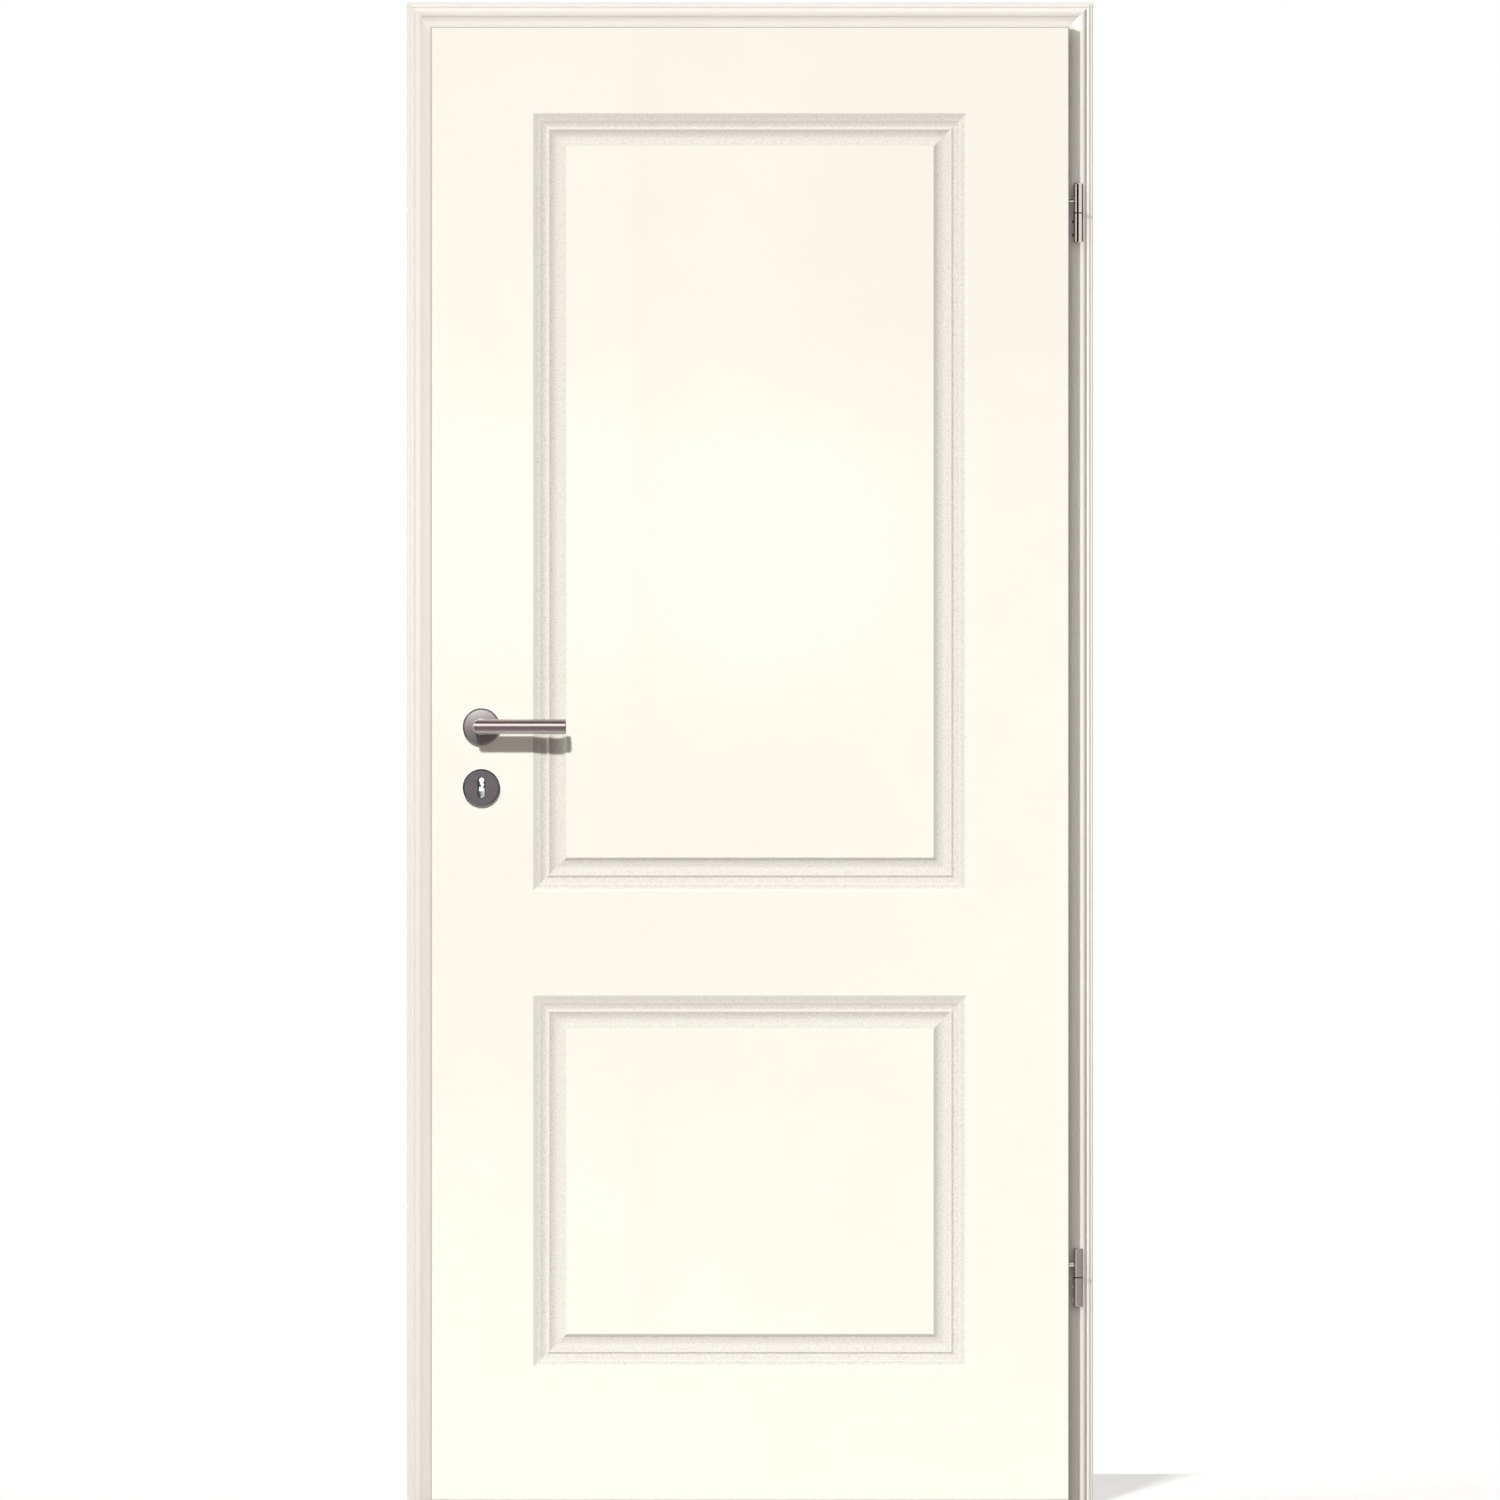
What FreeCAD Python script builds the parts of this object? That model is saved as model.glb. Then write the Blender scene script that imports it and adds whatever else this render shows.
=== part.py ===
"""Interior door: a rebated two-panel leaf in a wrap-round frame with profiled casings, hung on the right.

The frame wraps the wall: lining boards stand in the opening, a profiled casing covers the wall on each side, and
a rebate in the front casing takes the leaf. The leaf is a tubular-core door with two routed face boards, a lip on
three edges, a mortise lock, a lever on each side, key roses and two pin hinges.

Everything is drawn about the door's centre line (x), the wall's front face (y) and the floor (z), in millimetres,
seen from the side that the door opens to, which is -y. export() then moves it so that the origin lies on the
wall side of the hinge jamb, at mid wall and floor level.
"""

import os

import FreeCAD
import Part

from FreeCAD import Vector

# Leaf
LEAF_WIDTH = 860.0  # over the lip
LEAF_HEIGHT = 1985.0  # over the lip
LEAF_THICKNESS = 40.0
LIP_WIDTH = 13.0
LIP_THICKNESS = 14.5
BOARD_THICKNESS = 9.0  # the routed board on each face
EDGE_ROUND = 1.2
STILE_WIDTH = 40.0
TOP_RAIL_HEIGHT = 40.0
BOTTOM_RAIL_HEIGHT = 60.0
FLOOR_GAP = 7.0

# Gaps between leaf and frame
SIDE_GAP = 5.6
TOP_GAP = 7.1
LIP_GAP = 5.0  # from the back of the lip to the casing
STOP_GAP = 6.0  # from the back of the leaf to the stop, where the seal lies

# Frame
WALL_THICKNESS = 145.0
REBATE_STEP = 17.1
LINING_THICKNESS = 22.0
CASING_WIDTH = 39.9  # from the rebate to the outer edge
CASING_BAND_THICKNESS = 14.5  # under the lip
CASING_CREST = 5.0  # how far the bead stands over the band
CASING_LEG = 20.0  # the part of the front casing that turns into the opening
BACK_CASING_INSET = 5.0  # of the back casing's inner edge from the lining's face
TONGUE_THICKNESS = 6.0
TONGUE_DEPTH = 22.0
TONGUE_INSET = 9.0  # of the back casing's tongue from the lining's face
CASING_TONGUE_THICKNESS = 3.5
CASING_TONGUE_DEPTH = 8.0
GLUE_GAP = 0.1
WOOD_ROUND = 1.0

# Seal in the rebate
SEAL_WIDTH = 9.0
SEAL_INSET = 2.5  # from the lining's face
SEAL_CLEARANCE = 0.8  # to the back of the leaf
SEAL_FIN_WIDTH = 3.0
SEAL_FIN_DEPTH = 5.0
SEAL_WALL = 1.0

# Panels, measured from the leaf's own edges
MOULDING_SIDE = 137.5  # from the lip's edge to the moulding
UPPER_MOULDING_TOP = 116.0  # from the top of the leaf
UPPER_MOULDING_HEIGHT = 1048.5
LOWER_MOULDING_BOTTOM = 178.5  # from the bottom of the leaf
LOWER_MOULDING_HEIGHT = 501.5
MOULDING_WIDTH = 45.3
MOULDING_DEPTH = 6.0

# Lock, levers and roses
LEVER_HEIGHT = 1042.0  # of the lever's axis over the bottom of the leaf
BACKSET = 55.0  # from the forend to the lever's axis
KEY_DROP = 72.0  # from the lever's axis to the key's axis
KEY_ROSE_DROP = 10.0  # from the key's axis to the centre of its rose
ROSE_DIAMETER = 50.0
ROSE_THICKNESS = 9.0
ROSE_CHAMFER = 2.2
MOUTH_CHAMFER = 0.8  # round the hole for the neck or the key
GRIP_DIAMETER = 20.0
GRIP_REACH = 114.5  # from the lever's axis to the end of the grip
GRIP_STAND_OFF = 50.0  # from the leaf to the middle of the grip
GRIP_END_CHAMFER = 0.8
NECK_CLEARANCE = 0.3
ROSE_TO_NECK = 1.0  # the neck stops this far short of the leaf
SPINDLE = 8.0
SPINDLE_FIT = 0.1
SPINDLE_INTO_NECK = 30.0
SPINDLE_HOLE_DIAMETER = 18.0
LOCK_CASE_THICKNESS = 12.0
LOCK_CASE_DEPTH = 84.0
LOCK_CASE_HEIGHT = 165.0
LOCK_CASE_ABOVE_LEVER = 38.0
LOCK_FIT = 0.2
FOREND_WIDTH = 20.0
FOREND_HEIGHT = 235.0
FOREND_THICKNESS = 3.0
LOCK_TO_LIP = 12.75  # from the back of the lip to the middle of the lock
LATCH_HEIGHT = 30.0
LATCH_THICKNESS = 11.0
LATCH_ABOVE_LEVER = 22.0
BOLT_HEIGHT = 28.0
BOLT_THICKNESS = 9.0
BOLT_BELOW_KEY = 4.0
BOLT_LENGTH = 32.0
BOLT_FIT = 0.3
KEY_SLOT_WIDTH = 9.0
KEY_SLOT_HEIGHT = 28.0
KEY_SLOT_EASE = 2.0  # how much wider the hole in the leaf is, all round
KEY_BARREL_RADIUS = 3.6
KEY_BIT_WIDTH = 4.4
KEY_BIT_LENGTH = 15.0
KEY_WARD = 1.3

# Strike plate
STRIKE_WIDTH = 21.0  # on the rebate's face
STRIKE_FOLD = 6.5  # on the casing's face, under the lip
STRIKE_HEIGHT = 170.0
STRIKE_THICKNESS = 2.0
STRIKE_FIT = 0.1
STRIKE_EASE = 1.0  # how much larger its holes are than latch and bolt, all round
STRIKE_POCKET = 13.0
SCREW_HOLE_RADIUS = 2.2
SCREW_INSET = 10.0

# Hinges
HINGE_DROP = 250.5  # from the top of the leaf to the upper hinge's joint
HINGE_SPACING = 1435.0
KNUCKLE_RADIUS = 6.75
KNUCKLE_LENGTH = 40.0
KNUCKLE_CHAMFER = 1.2
KNUCKLE_GAP = 0.5
KNUCKLE_TO_LEAF = 5.75
KNUCKLE_TO_CASING = 1.0
AXLE_RADIUS = 3.5
AXLE_CLEARANCE = 0.05
AXLE_RISE = 34.0
LEAF_PIN_RADIUS = 3.5
LEAF_PIN_RISE = 17.5
LEAF_PIN_DEPTH = 35.0
FRAME_PIN_RADIUS = 3.0
FRAME_PIN_OFFSET = 5.0  # towards the leaf from the hinge's axis
FRAME_PIN_DEPTH = 9.0  # past the wall's face
FRAME_PIN_DROPS = (12.0, 30.0)
PIN_FIT = 0.1

# Places worked out from the sizes above
lip_edge = LEAF_WIDTH / 2
inner_edge = lip_edge - LIP_WIDTH
leaf_bottom = FLOOR_GAP
leaf_top = leaf_bottom + LEAF_HEIGHT
inner_top = leaf_top - LIP_WIDTH
rebate_edge = inner_edge + SIDE_GAP
rebate_top = inner_top + TOP_GAP
lining_edge = rebate_edge - REBATE_STEP
lining_top = rebate_top - REBATE_STEP
lining_back = lining_edge + LINING_THICKNESS
lining_back_top = lining_top + LINING_THICKNESS
casing_edge = rebate_edge + CASING_WIDTH
casing_top = rebate_top + CASING_WIDTH
band_face = -CASING_BAND_THICKNESS
crest_face = band_face - CASING_CREST
lip_back = band_face - LIP_GAP
leaf_face = lip_back - LIP_THICKNESS
leaf_back = leaf_face + LEAF_THICKNESS
core_front = leaf_face + BOARD_THICKNESS
core_back = leaf_back - BOARD_THICKNESS
stop_face = leaf_back + STOP_GAP
lock_middle = lip_back + LOCK_TO_LIP
lever_x = -inner_edge + BACKSET
lever_z = leaf_bottom + LEVER_HEIGHT
key_z = lever_z - KEY_DROP
key_rose_z = key_z - KEY_ROSE_DROP
hinge_x = lip_edge + KNUCKLE_TO_LEAF + KNUCKLE_RADIUS
hinge_y = crest_face - KNUCKLE_TO_CASING - KNUCKLE_RADIUS
upper_hinge_z = leaf_top - HINGE_DROP
lower_hinge_z = upper_hinge_z - HINGE_SPACING
latch_z = lever_z + LATCH_ABOVE_LEVER
bolt_z = key_z - BOLT_BELOW_KEY - BOLT_HEIGHT / 2
strike_middle = (latch_z + bolt_z) / 2

ORIGIN = Vector(lining_back, WALL_THICKNESS / 2, 0)
OVERRUN = 5.0  # how far a cutting solid runs past what it cuts
ALONG_X = Vector(1, 0, 0)
ALONG_Y = Vector(0, 1, 0)
ALONG_Z = Vector(0, 0, 1)


def block(x, y, z):
    """A box from three (low, high) pairs."""
    size = [high - low for low, high in (x, y, z)]
    return Part.makeBox(*size, Vector(x[0], y[0], z[0]))


def rod(radius, start, end):
    """A round bar from one point to another."""
    way = end - start
    return Part.makeCylinder(radius, way.Length, start, way)


def plate(corners, y):
    """A flat piece with straight edges, drawn in x and z and thick in y."""
    points = [Vector(x, y[0], z) for x, z in corners]
    return Part.Face(Part.makePolygon(points + points[:1])).extrude(ALONG_Y * (y[1] - y[0]))


def outline(place, start, moves):
    """A face whose edge goes from start through the moves: a point is a straight line, a pair of points an arc."""
    edges = []
    here = start
    for move in moves:
        if isinstance(move[0], tuple):
            middle, end = move
            edges.append(Part.Arc(place(*here), place(*middle), place(*end)).toShape())
        else:
            end = move
            edges.append(Part.LineSegment(place(*here), place(*end)).toShape())
        here = end
    return Part.Face(Part.Wire(edges))


def slot_bar(width, height, x, z, y):
    """A bar with round ends, upright, centred at x and z and running along y."""
    half = height / 2 - width / 2
    radius = width / 2

    def place(across, up):
        return Vector(x + across, y[0], z + up)

    face = outline(
        place,
        (-radius, -half),
        [(-radius, half), ((0, half + radius), (radius, half)), (radius, -half), ((0, -half - radius), (-radius, -half))],
    )
    return face.extrude(ALONG_Y * (y[1] - y[0]))


def round_edges(shape, radius, wanted):
    """Rounds the straight edges that the test picks."""
    return shape.makeFillet(radius, [e for e in shape.Edges if wanted(e)])


def mirrored(shape):
    """The same piece on the other side of the door's centre line."""
    return shape.mirror(Vector(0, 0, 0), ALONG_X)


# Casings


def casing_outline(width, inner):
    """Moves round a casing's section: across from the outer edge, out from the wall. inner closes the wall side."""
    band = CASING_BAND_THICKNESS
    crest = band + CASING_CREST
    return [
        (0, crest - 4.2),
        ((0.3, crest - 3.5), (1.0, crest - 3.2)),
        (3.4, crest - 3.2),
        ((4.3, crest - 2.5), (5.6, crest - 2.2)),
        ((6.9, crest - 2.5), (7.8, crest - 3.2)),
        (8.8, crest - 3.2),
        ((10.6, crest - 0.9), (13.6, crest)),
        ((16.6, crest - 0.4), (18.8, crest - 1.2)),
        (19.4, crest - 1.9),
        ((23.2, band + 1.4), (27.4, band + 0.4)),
        (32.5, band),
        (width - WOOD_ROUND, band),
        ((width - WOOD_ROUND * 0.3, band - WOOD_ROUND * 0.3), (width, band - WOOD_ROUND)),
    ] + inner


def mitred_sides(section_of, length_across, top, y):
    """The left and head pieces of a casing or seal, mitred where they meet. section_of makes the section's face."""
    reach = length_across
    left = section_of(lambda across, out: Vector(-reach + across, out, 0)).extrude(ALONG_Z * top)
    head = section_of(lambda across, out: Vector(-reach, out, top - across)).extrude(ALONG_X * 2 * reach)
    left_limit = plate([(-reach, 0), (-reach, top), (0, top - reach), (0, 0)], y)
    head_limit = plate([(-reach, top), (reach, top), (0, top - reach)], y)
    return left.common(left_limit), head.common(head_limit)


def front_casings():
    leg_outer = CASING_WIDTH - CASING_LEG
    tongue_outer = CASING_WIDTH - (lining_back - rebate_edge) + GLUE_GAP
    tongue_inner = tongue_outer + CASING_TONGUE_THICKNESS
    inner = [
        (CASING_WIDTH, -stop_face),
        (tongue_inner, -stop_face),
        (tongue_inner, -stop_face - CASING_TONGUE_DEPTH),
        (tongue_outer, -stop_face - CASING_TONGUE_DEPTH),
        (tongue_outer, -stop_face),
        (leg_outer, -stop_face),
        (leg_outer, 0),
        (0, 0),
    ]
    moves = casing_outline(CASING_WIDTH, inner)

    def section(place):
        return outline(lambda across, out: place(across, -out), (0, 0), moves)

    return mitred_sides(section, casing_edge, casing_top, (-100, 100))


def back_casings():
    width = casing_edge - lining_edge - BACK_CASING_INSET
    tongue_inner = width + BACK_CASING_INSET - TONGUE_INSET
    tongue_outer = tongue_inner - TONGUE_THICKNESS
    inner = [
        (width, 0),
        (tongue_inner, 0),
        (tongue_inner, -TONGUE_DEPTH),
        (tongue_outer, -TONGUE_DEPTH),
        (tongue_outer, 0),
        (0, 0),
    ]
    moves = casing_outline(width, inner)

    def section(place):
        return outline(lambda across, out: place(across, WALL_THICKNESS + out), (0, 0), moves)

    return mitred_sides(section, casing_edge, casing_top, (0, WALL_THICKNESS + 100))


def seals():
    """Hollow seals that lie on the stop, each held by a fin in a groove."""
    top = stop_face - leaf_back - SEAL_CLEARANCE
    far = SEAL_INSET + SEAL_WIDTH
    fin = SEAL_INSET + SEAL_WIDTH / 2 - SEAL_FIN_WIDTH / 2 + SPINDLE_FIT
    fin_far = fin + SEAL_FIN_WIDTH - 2 * SPINDLE_FIT
    middle = SEAL_INSET + SEAL_WIDTH / 2
    reach = lining_edge + far

    def from_face(distance):
        return far - distance

    def section(place):
        def put(distance, out):
            return place(from_face(distance), stop_face - out)

        solid = outline(
            put,
            (SEAL_INSET, 0),
            [
                (SEAL_INSET, top * 0.45),
                ((middle, top), (far, top * 0.45)),
                (far, 0),
                (fin_far, 0),
                (fin_far, -SEAL_FIN_DEPTH),
                (fin, -SEAL_FIN_DEPTH),
                (fin, 0),
                (SEAL_INSET, 0),
            ],
        )
        hollow = outline(
            put,
            (SEAL_INSET + SEAL_WALL, SEAL_WALL),
            [
                (SEAL_INSET + SEAL_WALL, top * 0.45),
                ((middle, top - SEAL_WALL), (far - SEAL_WALL, top * 0.45)),
                (far - SEAL_WALL, SEAL_WALL),
                (SEAL_INSET + SEAL_WALL, SEAL_WALL),
            ],
        )
        return solid.cut(hollow)

    return mitred_sides(section, reach, lining_top + far, (-100, 100))


def seal_grooves():
    """What the seals' fins take out of the lining boards, for the left side and the head."""
    middle = SEAL_INSET + SEAL_WIDTH / 2
    low = middle - SEAL_FIN_WIDTH / 2
    high = middle + SEAL_FIN_WIDTH / 2
    deep = (stop_face - OVERRUN, stop_face + SEAL_FIN_DEPTH + GLUE_GAP)
    side = block((-lining_edge - high, -lining_edge - low), deep, (-OVERRUN, lining_top + high))
    head = block((-lining_edge - high, lining_edge + high), deep, (lining_top + low, lining_top + high))
    return side, head


def lining_grooves():
    """Grooves for the casings' tongues in the left lining board: the front one and the back one."""
    fit = GLUE_GAP
    front_far = lining_back
    front_near = front_far - CASING_TONGUE_THICKNESS - 2 * fit
    front = block(
        (-front_far - OVERRUN, -front_near),
        (stop_face - OVERRUN, stop_face + CASING_TONGUE_DEPTH + fit),
        (-OVERRUN, casing_top),
    )
    near = lining_edge + TONGUE_INSET - fit
    back = block(
        (-near - TONGUE_THICKNESS - 2 * fit, -near),
        (WALL_THICKNESS - TONGUE_DEPTH - fit, WALL_THICKNESS + OVERRUN),
        (-OVERRUN, casing_top),
    )
    return front, back


def lining_boards():
    deep = (stop_face, WALL_THICKNESS)
    fit = GLUE_GAP
    side = block((-lining_back, -lining_edge), deep, (0, lining_back_top))
    head = block((-lining_edge, lining_edge), deep, (lining_top, lining_back_top))
    side_groove, head_groove = seal_grooves()
    front, back = lining_grooves()
    side = side.cut(side_groove).cut(front).cut(back)
    side = side.cut(head_groove)
    head_front = block(
        (-lining_back, lining_back),
        (stop_face - OVERRUN, stop_face + CASING_TONGUE_DEPTH + fit),
        (lining_back_top - CASING_TONGUE_THICKNESS - 2 * fit, lining_back_top + OVERRUN),
    )
    low = lining_top + TONGUE_INSET - fit
    head_back = block(
        (-lining_back, lining_back),
        (WALL_THICKNESS - TONGUE_DEPTH - fit, WALL_THICKNESS + OVERRUN),
        (low, low + TONGUE_THICKNESS + 2 * fit),
    )
    side = side.cut(head_front).cut(head_back)
    head = head.cut(head_groove).cut(head_front).cut(head_back)
    return side, head


# Leaf


def moulding_cutter(x, z, face, into):
    """What a router takes out round a panel: two coves, a narrow bead, a hollow and the step up to the field.

    x and z are the moulding's outer limits, face is the board's surface and into is 1 or -1, the way into the board.
    """
    depth = MOULDING_DEPTH
    width = MOULDING_WIDTH
    moves = [
        ((4.2, -depth * 0.3), (9.0, -depth * 0.42)),
        ((12.6, -depth * 0.66), (18.4, -depth * 0.78)),
        (21.2, -depth * 0.46),
        (21.8, -depth * 0.46),
        ((26.4, -depth * 0.84), (32.5, -depth)),
        ((37.4, -depth * 0.9), (width - 4.0, -depth * 0.66)),
        (width, 0),
        (width, OVERRUN),
        (0, OVERRUN),
        (0, 0),
    ]

    def side(place, sweep, corners):
        section = outline(lambda s, out: place(s, face - out * into), (0, 0), moves)
        return section.extrude(sweep).common(plate(corners, (face - 20, face + 20)))

    across = x[1] - x[0]
    up = z[1] - z[0]
    low_left = (x[0], z[0])
    low_right = (x[1], z[0])
    top_left = (x[0], z[1])
    top_right = (x[1], z[1])
    in_low_left = (x[0] + width, z[0] + width)
    in_low_right = (x[1] - width, z[0] + width)
    in_top_left = (x[0] + width, z[1] - width)
    in_top_right = (x[1] - width, z[1] - width)
    sides = [
        side(lambda s, y: Vector(x[0] + s, y, z[0]), ALONG_Z * up, [low_left, top_left, in_top_left, in_low_left]),
        side(lambda s, y: Vector(x[1] - s, y, z[0]), ALONG_Z * up, [low_right, top_right, in_top_right, in_low_right]),
        side(lambda s, y: Vector(x[0], y, z[0] + s), ALONG_X * across, [low_left, low_right, in_low_right, in_low_left]),
        side(lambda s, y: Vector(x[0], y, z[1] - s), ALONG_X * across, [top_left, top_right, in_top_right, in_top_left]),
    ]
    return sides


def panel_cutters(face, into):
    across = (-lip_edge + MOULDING_SIDE, lip_edge - MOULDING_SIDE)
    upper_top = leaf_top - UPPER_MOULDING_TOP
    lower_bottom = leaf_bottom + LOWER_MOULDING_BOTTOM
    upper = (upper_top - UPPER_MOULDING_HEIGHT, upper_top)
    lower = (lower_bottom, lower_bottom + LOWER_MOULDING_HEIGHT)
    return moulding_cutter(across, upper, face, into) + moulding_cutter(across, lower, face, into)


def fitting_holes():
    """The holes through the leaf for the spindle and the key."""
    through = (leaf_face - OVERRUN, leaf_back + OVERRUN)
    spindle = rod(SPINDLE_HOLE_DIAMETER / 2, Vector(lever_x, through[0], lever_z), Vector(lever_x, through[1], lever_z))
    ease = 2 * KEY_SLOT_EASE
    key = slot_bar(KEY_SLOT_WIDTH + ease, KEY_SLOT_HEIGHT + ease, lever_x, key_rose_z, through)
    return [spindle, key]


def lock_pocket():
    """The mortise for the lock: the case and the sunk forend."""
    fit = LOCK_FIT
    case = lock_case_block(fit)
    half = FOREND_WIDTH / 2 + fit
    forend = slot_plate(FOREND_HEIGHT + 2 * fit, 2 * half, -inner_edge - OVERRUN, -inner_edge + FOREND_THICKNESS)
    return [case, forend]


def slot_plate(height, width, x0, x1):
    """A plate with round ends that faces along x, centred on the lock and the forend's height."""
    middle = forend_middle()
    half = height / 2 - width / 2
    radius = width / 2

    def place(across, up):
        return Vector(x0, lock_middle + across, middle + up)

    face = outline(
        place,
        (-radius, -half),
        [(-radius, half), ((0, half + radius), (radius, half)), (radius, -half), ((0, -half - radius), (-radius, -half))],
    )
    return face.extrude(ALONG_X * (x1 - x0))


def forend_middle():
    return lever_z + LOCK_CASE_ABOVE_LEVER - LOCK_CASE_HEIGHT / 2


def lock_case_block(fit=0.0):
    half = LOCK_CASE_THICKNESS / 2 + fit
    top = lever_z + LOCK_CASE_ABOVE_LEVER + fit
    return block(
        (-inner_edge + FOREND_THICKNESS, -inner_edge + FOREND_THICKNESS + LOCK_CASE_DEPTH + fit),
        (lock_middle - half, lock_middle + half),
        (top - LOCK_CASE_HEIGHT - 2 * fit, top),
    )


def leaf_pin_holes():
    """Bores for the pins that carry the leaf's half of each hinge."""
    holes = []
    for z in (upper_hinge_z, lower_hinge_z):
        start = Vector(lip_edge + OVERRUN, hinge_y, z + LEAF_PIN_RISE)
        end = Vector(lip_edge - LEAF_PIN_DEPTH - PIN_FIT, hinge_y, z + LEAF_PIN_RISE)
        holes.append(rod(LEAF_PIN_RADIUS + PIN_FIT, start, end))
    return holes


def front_board():
    board = block((-lip_edge, lip_edge), (leaf_face, core_front), (leaf_bottom, leaf_top))

    def at_front(edge):
        return all(abs(v.Y - leaf_face) < 0.01 for v in edge.Vertexes)

    board = round_edges(board, EDGE_ROUND, at_front)
    return board.cut(panel_cutters(leaf_face, 1)).cut(fitting_holes() + leaf_pin_holes())


def back_board():
    board = block((-inner_edge, inner_edge), (core_back, leaf_back), (leaf_bottom, inner_top))

    def at_back(edge):
        return all(abs(v.Y - leaf_back) < 0.01 for v in edge.Vertexes)

    board = round_edges(board, EDGE_ROUND, at_back)
    return board.cut(panel_cutters(leaf_back, -1)).cut(fitting_holes() + lock_pocket())


def stiles():
    """The upright timbers, each with its part of the lip."""
    inner = block((-inner_edge, -inner_edge + STILE_WIDTH), (core_front, core_back), (leaf_bottom, inner_top))
    lip = block((-lip_edge, -inner_edge), (core_front, lip_back), (leaf_bottom, inner_top))
    stile = inner.fuse(lip).removeSplitter()
    latch = stile.cut(lock_pocket() + fitting_holes())
    hinge = mirrored(stile).cut(leaf_pin_holes())
    return latch, hinge


def top_rail():
    half = inner_edge - STILE_WIDTH
    rail = block((-half, half), (core_front, core_back), (inner_top - TOP_RAIL_HEIGHT, inner_top))
    lip = block((-lip_edge, lip_edge), (core_front, lip_back), (inner_top, leaf_top))
    return rail.fuse(lip).removeSplitter()


def bottom_rail():
    half = inner_edge - STILE_WIDTH
    return block((-half, half), (core_front, core_back), (leaf_bottom, leaf_bottom + BOTTOM_RAIL_HEIGHT))


def core():
    half = inner_edge - STILE_WIDTH
    bottom = leaf_bottom + BOTTOM_RAIL_HEIGHT
    board = block((-half, half), (core_front, core_back), (bottom, inner_top - TOP_RAIL_HEIGHT))
    return board.cut(lock_pocket() + fitting_holes())


# Lock


def keyhole():
    """The warded keyhole: a round hole for the key's shank and a stepped slot for its bit."""
    half = KEY_BIT_WIDTH / 2
    ward = KEY_WARD
    top = KEY_BARREL_RADIUS * 0.7
    step = KEY_BIT_LENGTH / 5
    corners = [
        (-half, -top),
        (-half, -2 * step),
        (-half + ward, -2 * step),
        (-half + ward, -3 * step),
        (-half - ward, -3 * step),
        (-half - ward, -KEY_BIT_LENGTH),
        (half + ward, -KEY_BIT_LENGTH),
        (half + ward, -4 * step),
        (half, -4 * step),
        (half, -2.5 * step),
        (half + ward, -2.5 * step),
        (half + ward, -1.5 * step),
        (half, -1.5 * step),
        (half, -top),
    ]
    through = (lock_middle - LOCK_CASE_THICKNESS, lock_middle + LOCK_CASE_THICKNESS)
    bit = plate([(lever_x + x, key_z + z) for x, z in corners], through)
    shank = rod(KEY_BARREL_RADIUS, Vector(lever_x, through[0], key_z), Vector(lever_x, through[1], key_z))
    return shank.fuse(bit)


def bolt_block(height, thickness, z, fit=0.0):
    """A latch or bolt, drawn back so that it ends level with the forend."""
    half = thickness / 2 + fit
    return block(
        (-inner_edge, -inner_edge + BOLT_LENGTH + fit),
        (lock_middle - half, lock_middle + half),
        (z - height / 2 - fit, z + height / 2 + fit),
    )


def lock_case():
    case = lock_case_block()
    spindle = rod(SPINDLE_HOLE_DIAMETER / 2, Vector(lever_x, -100, lever_z), Vector(lever_x, 100, lever_z))
    pockets = [
        bolt_block(LATCH_HEIGHT, LATCH_THICKNESS, latch_z, BOLT_FIT),
        bolt_block(BOLT_HEIGHT, BOLT_THICKNESS, bolt_z, BOLT_FIT),
    ]
    return case.cut([spindle, keyhole()] + pockets)


def forend():
    strip = slot_plate(FOREND_HEIGHT, FOREND_WIDTH, -inner_edge, -inner_edge + FOREND_THICKNESS)
    holes = [
        bolt_block(LATCH_HEIGHT, LATCH_THICKNESS, latch_z, BOLT_FIT),
        bolt_block(BOLT_HEIGHT, BOLT_THICKNESS, bolt_z, BOLT_FIT),
    ]
    return strip.cut(holes)


def rose(z, hole, out):
    """A round rose with chamfered rim and mouth. out is -1 on the front of the leaf and 1 on the back."""
    seat = leaf_face if out < 0 else leaf_back
    face = seat + out * ROSE_THICKNESS
    disc = rod(ROSE_DIAMETER / 2, Vector(lever_x, seat, z), Vector(lever_x, face, z))

    def on_face(edge):
        return abs(edge.CenterOfMass.y - face) < 0.01

    disc = disc.makeChamfer(ROSE_CHAMFER, [e for e in disc.Edges if on_face(e)]).cut(hole)
    flat = ROSE_DIAMETER / 2 - ROSE_CHAMFER

    def at_mouth(edge):
        return on_face(edge) and edge.Vertexes[0].Point.distanceToPoint(Vector(lever_x, face, z)) < flat * 0.9

    return disc.makeChamfer(MOUTH_CHAMFER, [e for e in disc.Edges if at_mouth(e)])


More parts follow.
